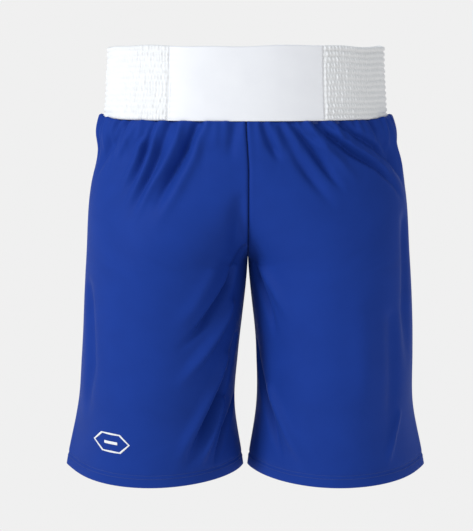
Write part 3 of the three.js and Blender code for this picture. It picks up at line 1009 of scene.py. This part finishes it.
def smooth_front(around, drop):
    """Nearly flat: slow ripples, small puckers by the joins, and a rounded edge at each."""
    total = band_length(lapped)
    to_join = np.minimum(around, total - around)
    puckers = np.sin(2 * np.pi * drop / PITCH) * np.exp(-to_join / JOIN_PUCKER_FADE)
    ripples = np.sin(around * 52 + drop * 9) * np.sin(around * 17 + 1) + 0.5 * np.sin(drop * 60 + 1)
    end = ROUNDED_END * np.exp(-to_join / ROUNDED_END_WIDTH)
    foot = ROUNDED_FOOT * bell(BAND_HEIGHT - drop, ROUNDED_FOOT_WIDTH)
    return JOIN_PUCKER * puckers + RIPPLE * ripples + FRONT_LIFT - end - foot


lapped = (FRONT_REACH[0] - LAP, FRONT_REACH[1] + LAP)
front_cover = band_cover("smooth_front_band", lapped, 220, (70, 16), smooth_front, 0.4 * MM)
finish_as(front_cover, WHITE_SATIN, "white_satin", "waistband_front_cover", rides="waist")

# %% [markdown]
# Between the cover's two layers lie the wide elastic and, in front, the interlining. Nobody sees
# them until a layer is lifted, so each is a plain strip on the same oval, a little inwards.

# %% Elastic and interlining
CORE_TOP, CORE_FOOT = 2.4 * MM, 0.5 * MM
CORE_INSET = 1.3 * MM
CORE_THICKNESS = 0.9 * MM


def band_core(name, reach, columns):
    """A plain strip on the band's oval, between the cover's two layers."""
    drops = np.linspace(CORE_TOP, BAND_HEIGHT - CORE_FOOT, 30)
    angles = np.linspace(*reach, columns)
    points = band_point(angles[None, :], drops[:, None], CORE_INSET)
    around = np.linspace(0, band_length(reach), columns)
    uv = np.stack(np.broadcast_arrays(around[None, :], drops[:, None]), -1)
    return sheet_piece(name, points, uv, thickness=CORE_THICKNESS)


trim = 2.0 * MM / BAND_TOP_WIDTH
for name, reach, node, cover in (
    ("band_elastic", BACK_REACH, "waistband_elastic", "shirred_band"),
    ("band_interlining", FRONT_REACH, "waistband_interlining", "smooth_front_band"),
):
    core = band_core(name, (reach[0] + trim, reach[1] - trim), 220)
    finish_as(core, WOVEN_ELASTIC, "white_elastic", node, rides="waist")
    width = float(band_length(reach))
    print(f"{name}: {width:.3f} m long")


# %% [markdown]
# ## Stitches
# A lockstitch shows as a row of short, plump dashes. An array modifier along a curve could lay
# them, but it would stretch them in the bends. Here one dash of a few faces is turned to fit the
# route at each even step, and all the dashes of a seam are one mesh.

# %% One stitch, many times
def stitch_shape(length, radius):
    """A short rod with six sides, thickest in the middle."""
    rings = np.array([-0.5, -0.28, 0.28, 0.5]) * length
    girth = np.array([0.45, 1.0, 1.0, 0.45]) * radius
    sides = np.linspace(0, 2 * np.pi, 6, endpoint=False)
    across = girth[:, None] * np.cos(sides)
    up = girth[:, None] * np.sin(sides)
    along = np.broadcast_to(rings[:, None], across.shape)
    return np.stack([along, across, up], -1)


def spaced(route, normals, pitch, closed=False):
    """Places, directions and normals at even steps along a dense route."""
    total = lengths_along(route, 0)
    count = max(2, int(total[-1] / pitch))
    at = (np.arange(count) + (0 if closed else 0.5)) * total[-1] / count
    place = np.stack([np.interp(at, total, route[:, i]) for i in range(3)], -1)
    nearby = np.stack([np.interp(at + 0.2 * MM, total, route[:, i]) for i in range(3)], -1)
    before = np.stack([np.interp(at - 0.2 * MM, total, route[:, i]) for i in range(3)], -1)
    normal = unit(np.stack([np.interp(at, total, normals[:, i]) for i in range(3)], -1))
    return place, unit(nearby - before), normal


def stitch_rows(name, routes, length=2.3 * MM, gap=0.7 * MM, radius=0.28 * MM):
    """All the stitches of some routes, as one piece of many small closed rods."""
    shape = stitch_shape(length, radius)
    rings, around = shape.shape[:2]
    quads = grid_faces(rings, around, around=True)
    first = np.arange(around)[None, :]
    caps = [first, first[:, ::-1] + (rings - 1) * around]
    points = []
    for route, normals in routes:
        place, forward, up = spaced(route, normals, length + gap)
        beside = unit(np.cross(up, forward))
        axes = np.stack([forward, beside, up], 1)
        points.append(place[:, None] + np.einsum("kj,njc->nkc", shape.reshape(-1, 3), axes))
    points = np.concatenate(points)
    step = (np.arange(len(points)) * rings * around)[:, None, None]
    faces = [(f[None] + step).reshape(-1, f.shape[1]) for f in (quads, *caps)]
    piece = face_outwards(make_mesh(name, points.reshape(-1, 3), faces))
    print(f"{name}: {len(points)} stitches")
    return piece


# %% [markdown]
# On the band they lie in the narrow valleys between the shirred channels, and along both ends of
# the smooth panel, on top of it.

# %% Stitches of the band
STITCH_SINK = 0.05 * MM
JOIN_LIFT = 1.15 * MM
BEHIND = 10 * MM  # a point this far behind a stitch gives the way that it faces


def band_route(angles, drop):
    """One row round the band, in the narrow valley between two channels."""
    route = band_point(angles, drop, STITCH_SINK)
    return route, unit(route - band_point(angles, drop, BEHIND))


dense = np.linspace(*BACK_REACH, 2600)[12:-12]
shirr_routes = [band_route(dense, row * PITCH) for row in range(1, CHANNELS)]
shirr_stitches = stitch_rows("shirring_stitches", shirr_routes, radius=0.24 * MM)
shirr_nodes = [node for node in frame["nodes"] if node.startswith("shirring_row")]
finish_as(shirr_stitches, WHITE_THREAD, "white_thread", *shirr_nodes, rides="waist")


def join_route(way):
    """A line down the band, just inside one end of the smooth panel."""
    drops = np.linspace(3 * MM, BAND_HEIGHT - 2 * MM, 200)
    angle = FRONT_ANGLE + way * (JOIN + LAP - 2.2 * MM / BAND_TOP_WIDTH)
    route = band_point(angle, drops, -JOIN_LIFT)
    return route, unit(route - band_point(angle, drops, BEHIND))


for side, way in (("left", 1), ("right", -1)):
    piece = stitch_rows(f"{side}_join_stitches", [join_route(way)])
    node = f"waistband_{side}_join_stitch"
    finish_as(piece, WHITE_THREAD, "white_thread", node, rides="waist")


# %% [markdown]
# The hem is sewn with two needles at once, so it shows two rows. They sit in the groove that they
# pull into the knit, and their routes come from the finished cloth, folds included.

# %% Hem stitches
NEEDLE_GAP = 4 * MM


def hem_route(side, drop):
    """A line round one leg at the same drop all the way, a little proud of the cloth."""
    turns = np.linspace(0, 2, 1200)
    route = cloth_point(turns, drop, side, -0.12 * MM)
    return route, unit(route - cloth_point(turns, drop, side, 4 * MM))


for side in ("left", "right"):
    rows = [hem_route(side, LENGTH - HEM_HEIGHT + gap) for gap in (0, NEEDLE_GAP)]
    piece = stitch_rows(f"{side}_hem_stitches", rows)
    finish_as(piece, BLUE_THREAD, "blue_thread", f"{side}_hem_stitching", rides=f"{side}_leg")


# %% [markdown]
# ## Seams inside
# Every seam's edges are overlocked: threads wrap round them and make a soft ribbed cord. Modelling
# each wrap would take millions of faces for something inside. A flat rounded section carried along
# the seam, swelling at each thread, looks the same.

# %% Overlocked edges
OVERLOCK_WIDTH = 6 * MM
OVERLOCK_THICKNESS = 1.1 * MM
THREAD_PITCH = 2.4 * MM
ALLOWANCE_GAP, RISE_GAP = 0.6 * MM, 1.2 * MM


def overlocked(name, route, normals, closed=False):
    """A rounded flat section along a route, thicker at each wrap of thread."""
    place, forward, up = spaced(route, normals, THREAD_PITCH / 4, closed)
    beside = unit(np.cross(up, forward))
    sides = np.linspace(0, 2 * np.pi, 14, endpoint=False)
    swell = 1 + 0.22 * np.cos(np.arange(len(place)) * np.pi / 2)
    across = OVERLOCK_WIDTH / 2 * np.sign(np.cos(sides)) * np.abs(np.cos(sides)) ** 0.6
    height = OVERLOCK_THICKNESS / 2 * np.sin(sides)
    points = (
        place[:, None]
        + beside[:, None] * across[None, :, None]
        + up[:, None] * (height[None, :] * swell[:, None])[..., None]
    )
    return face_outwards(tube_piece(name, points, closed=closed))


def inside_route(side, turn, top, bottom):
    """A line down the inside of a leg seam, half the allowance's thickness off the cloth."""
    drops = np.linspace(top, bottom, 500)
    turns = np.full_like(drops, turn)
    inset = CLOTH + OVERLOCK_THICKNESS / 2 + ALLOWANCE_GAP
    route = cloth_point(turns, drops, side, inset)
    return route, unit(cloth_point(turns, drops, side) - route)


def rise_route(turn):
    """In the middle plane, behind the ridge where the two halves are sewn together."""
    drops = CROTCH_DROP - (CROTCH_DROP - BAND_HEIGHT - 8 * MM) * np.linspace(1, 0.05, 400) ** 1.6
    seam = cloth_point(np.full_like(drops, turn), drops, "left", CLOTH)
    seam[:, 0] = lean(drops)
    along = unit(np.gradient(seam, axis=0))
    along[:, 0] = 0
    inwards = np.cross(along, np.array([1.0, 0, 0])) * (-1 if turn == 0 else 1)
    return seam + inwards * (OVERLOCK_THICKNESS / 2 + RISE_GAP), -inwards


def overlock_piece(name, route, nodes, side=None):
    rides = None if side else "waist"
    piece = finish_as(overlocked(name, *route), BLUE_THREAD, "blue_thread", *nodes, rides=rides)
    if side:
        bend(piece, side)


hem_start = LENGTH - HEM_HEIGHT - 4 * MM
for side in ("left", "right"):
    for seam, turn, top in (("side", 1.0, BAND_HEIGHT + 7 * MM), ("inseam", 2.0, CROTCH_DROP + 6 * MM)):
        nodes = [f"{side}_{seam}_overlock_hip", f"{side}_{seam}_overlock_leg"]
        route = inside_route(side, turn, top, hem_start)
        overlock_piece(f"{side}_{seam}_seam", route, nodes, side)
overlock_piece("front_rise_seam", rise_route(0.0), ["front_rise_overlock"])
overlock_piece("back_rise_seam", rise_route(2.0), ["back_rise_overlock"])

# %% [markdown]
# The waist seam is the longest: it goes all the way round, joins the panels to the band, and is
# closed like a ring, so its last section is joined to its first.

# %% The waist seam
angles = np.linspace(0, 2 * np.pi, 1600)
waist_drop, waist_inset = BAND_HEIGHT + 1 * MM, BAND_THICKNESS + 1.4 * MM
waist_route = band_point(angles, waist_drop, waist_inset)
waist_normals = unit(waist_route - band_point(angles, waist_drop, waist_inset + BEHIND / 2))
waist_seam = overlocked("waist_overlock_seam", waist_route, waist_normals, closed=True)
finish_as(waist_seam, BLUE_THREAD, "blue_thread", "waist_overlock", rides="waist")


# %% [markdown]
# ## Labels
# A blank size label is sewn flat inside the back, and a blank care label hangs from the seam. Tape
# is thin and springy, so the loose end curls a little. Both are small grids on the band's oval,
# pushed inwards, and so they follow its curve without a modifier.

# %% Labels
LABEL_THICKNESS = 0.3 * MM
SIZE_LABEL_WIDTH, SIZE_LABEL_HEIGHT, SIZE_LABEL_DROP = 40 * MM, 28 * MM, 24 * MM
CARE_LABEL_WIDTH, CARE_LABEL_SHOWN = 30 * MM, 44 * MM
CARE_LABEL_ANGLE = math.radians(68)
SIZE_LABEL_GAP, CARE_LABEL_GAP = 1.9 * MM, 3.4 * MM
CARE_LABEL_CURL = 5 * MM


def label_piece(name, angle, width, drops, insets, node):
    """A narrow grid on the band's oval, as far inwards as its insets say."""
    half = width / 2 / BAND_TOP_WIDTH
    angles = np.linspace(angle + half, angle - half, 36)
    points = band_point(angles[None, :], drops[:, None], insets[:, None])
    across = np.linspace(0, width, 36)
    uv = np.stack(np.broadcast_arrays(across[None, :], drops[:, None]), -1)
    piece = sheet_piece(name, points, uv, thickness=LABEL_THICKNESS)
    finish_as(piece, LABEL_TAPE, "label_tape", node, rides="waist")


down = np.linspace(0, 1, 40)
size_drops = SIZE_LABEL_DROP + SIZE_LABEL_HEIGHT * down
size_insets = BAND_THICKNESS + SIZE_LABEL_GAP + 0.5 * MM * np.sin(np.pi * down)
label_piece(
    "blank_size_label", np.pi / 2, SIZE_LABEL_WIDTH, size_drops, size_insets,
    "size_label",
)
care_drops = BAND_HEIGHT + 2 * MM + CARE_LABEL_SHOWN * down
curl = CARE_LABEL_CURL * down**2 + 0.6 * MM * np.sin(6 * down)
label_piece(
    "blank_care_label", CARE_LABEL_ANGLE, CARE_LABEL_WIDTH, care_drops,
    BAND_THICKNESS + CARE_LABEL_GAP + curl,
    "care_label",
)

# %% [markdown]
# ## The badge
# A plain six-sided badge is embroidered near the hem: dense satin stitches across a narrow path,
# so the border is a low ridge with fine thread across it. A decal would be flat, and a Shrinkwrap
# could slip, so the ridge is worked out on the finished cloth, folds included.

# %% Badge
BADGE_X = 163 * MM
BADGE_RISE = 52 * MM
BADGE_WIDTH, BADGE_HEIGHT, BADGE_POINT = 51 * MM, 24 * MM, 12 * MM
BORDER = 2.4 * MM
BORDER_LENGTH = 126 * MM
BAR_LENGTH, BAR_HEIGHT = 18 * MM, 3.6 * MM
EMBROIDERY_PITCH = 0.5 * MM
EMBROIDERY_LIFT, EMBROIDERY_DOME = 0.35 * MM, 0.45 * MM


def on_leg(across, up, lift):
    """A point of the right leg's front, from its place across and up from the badge's middle."""
    drop = LENGTH - BADGE_RISE - up
    half, centre, _, _, inner = oval(drop)
    angle = -np.arccos(np.clip((BADGE_X - across - centre) / half, -1, 1))
    return cloth_point(1 + angle / inner, drop, "right", -lift)


def corners_of(width, height, point):
    """The corners of a rectangle whose short sides are drawn out to a point each."""
    w, h = width / 2, height / 2
    return np.array([(w, 0), (w - point, h), (point - w, h), (-w, 0), (point - w, -h), (w - point, -h)])


def along_corners(corners, count):
    """Points at even steps along the closed line through the corners."""
    closed = np.vstack([corners, corners[:1]])
    total = lengths_along(closed, 0)
    at = np.linspace(0, total[-1], count, endpoint=False)
    return np.stack([np.interp(at, total, closed[:, i]) for i in range(2)], -1)


def satin_stitch(name, centre_line, outwards, width, closed):
    """A low dome carried along a line, ribbed by the threads that cross it."""
    count = len(centre_line)
    sides = np.linspace(0, 2 * np.pi, 12, endpoint=False)
    ribs = 1 + 0.12 * np.cos(np.arange(count) * np.pi / 2)
    offset = width / 2 * np.cos(sides)
    lift = EMBROIDERY_LIFT + EMBROIDERY_DOME * np.sin(sides)[None, :] * ribs[:, None]
    flat = centre_line[:, None] + outwards[:, None] * offset[None, :, None]
    points = on_leg(flat[..., 0], flat[..., 1], lift)
    return face_outwards(tube_piece(name, points, closed=closed))


hexagon = corners_of(BADGE_WIDTH - BORDER, BADGE_HEIGHT - BORDER, BADGE_POINT)
line = along_corners(hexagon, int(BORDER_LENGTH / EMBROIDERY_PITCH) * 4)
border = satin_stitch("badge_border", line, unit(line), BORDER, True)
count = int(BAR_LENGTH / EMBROIDERY_PITCH) * 4
bar_line = np.stack([np.linspace(-BAR_LENGTH / 2, BAR_LENGTH / 2, count), np.zeros(count)], -1)
bar = satin_stitch("badge_bar", bar_line, np.tile([0.0, 1.0], (count, 1)), BAR_HEIGHT, False)
for piece, node in ((border, "emblem_border"), (bar, "emblem_bar")):
    finish_as(piece, WHITE_THREAD, "white_thread", node, rides="right_leg")

# %% [markdown]
# ## Floor, light and camera
# The shorts hang in a pale, even studio. The key light is to the left and in front, a weaker one
# fills the right, one stands behind, and the world lights the rest. White cloth on a pale ground
# needs both under control, so what the camera sees behind has a brightness of its own, whatever
# the lamps do: a Light Path node chooses it, and the floor glows with the same value.

# %% Studio
PALE = 0.871
AMBIENT_COLOUR, AMBIENT_STRENGTH = (0.9, 0.95, 1.0, 1), 0.50
FLOOR_DROP = 0.75
FLOOR_SIZE = 30
scene = bpy.context.scene
scene.view_settings.view_transform = "Standard"
scene.world = bpy.data.worlds.new("studio")
sky = Paint(scene.world, "World Output")
plain = sky.node("ShaderNodeBackground", {"Color": (PALE, PALE, PALE, 1)})
ambient = sky.node(
    "ShaderNodeBackground", {"Color": AMBIENT_COLOUR, "Strength": AMBIENT_STRENGTH}
)
seen = sky.node("ShaderNodeLightPath", {}, output="Is Camera Ray")
sky.set(Surface=sky.node("ShaderNodeMixShader", {0: seen, 1: ambient, 2: plain}))

bpy.ops.mesh.primitive_plane_add(size=FLOOR_SIZE, location=(0, 0, -FLOOR_DROP))
floor = bpy.context.object
floor.name = "floor"
floor_paint = Paint(bpy.data.materials.new("pale_floor"))
floor_paint.set(
    Base_Color=(0, 0, 0, 1),
    Roughness=1.0,
    Specular_IOR_Level=0.0,
    Emission_Color=(PALE, PALE, PALE, 1),
    Emission_Strength=1.0,
)
floor.data.materials.append(floor_paint.holder)


def soft_light(name, place, size, power, colour):
    """A square lamp that faces the middle of the shorts."""
    lamp = bpy.data.lights.new(name, "AREA")
    lamp.color = colour
    lamp.size = size
    lamp.energy = power
    holder = bpy.data.objects.new(name, lamp)
    scene.collection.objects.link(holder)
    holder.location = place
    aim = np.array([0, 0, -LENGTH / 2]) - place
    level = math.hypot(aim[0], aim[1])
    holder.rotation_euler = (math.atan2(level, -aim[2]), 0, math.atan2(aim[1], aim[0]) - math.pi / 2)


# name, place, size, power and colour
LIGHTS = [
    ("key", (-1.9, -1.35, 0.8), 0.8, 41, (0.92, 0.96, 1.0)),
    ("fill", (1.3, -2.1, 0.2), 1.6, 5, (1, 1, 1)),
    ("back", (0.9, 2.2, 0.9), 1.6, 18, (1, 1, 1)),
]
for light in LIGHTS:
    soft_light(*light)
print("lights:", *[name for name, *_ in LIGHTS])

# %% [markdown]
# The camera stands level with the band, so its top edge looks straight, and tilts down, which is
# why the hems bow. A long lens from further away would flatten them.

# %% Camera
CAMERA_PLACE = (-11 * MM, -1.6, -20 * MM)
CAMERA_TILT = math.radians(8.8)
LENS = 88.95
camera = bpy.data.cameras.new("camera")
camera.lens = LENS
holder = bpy.data.objects.new("camera", camera)
scene.collection.objects.link(holder)
holder.location = CAMERA_PLACE
holder.rotation_euler = (math.pi / 2 - CAMERA_TILT, 0, 0)
scene.camera = holder
print(f"camera: {-CAMERA_PLACE[1]:.2f} m in front, {LENS:.0f} mm lens")
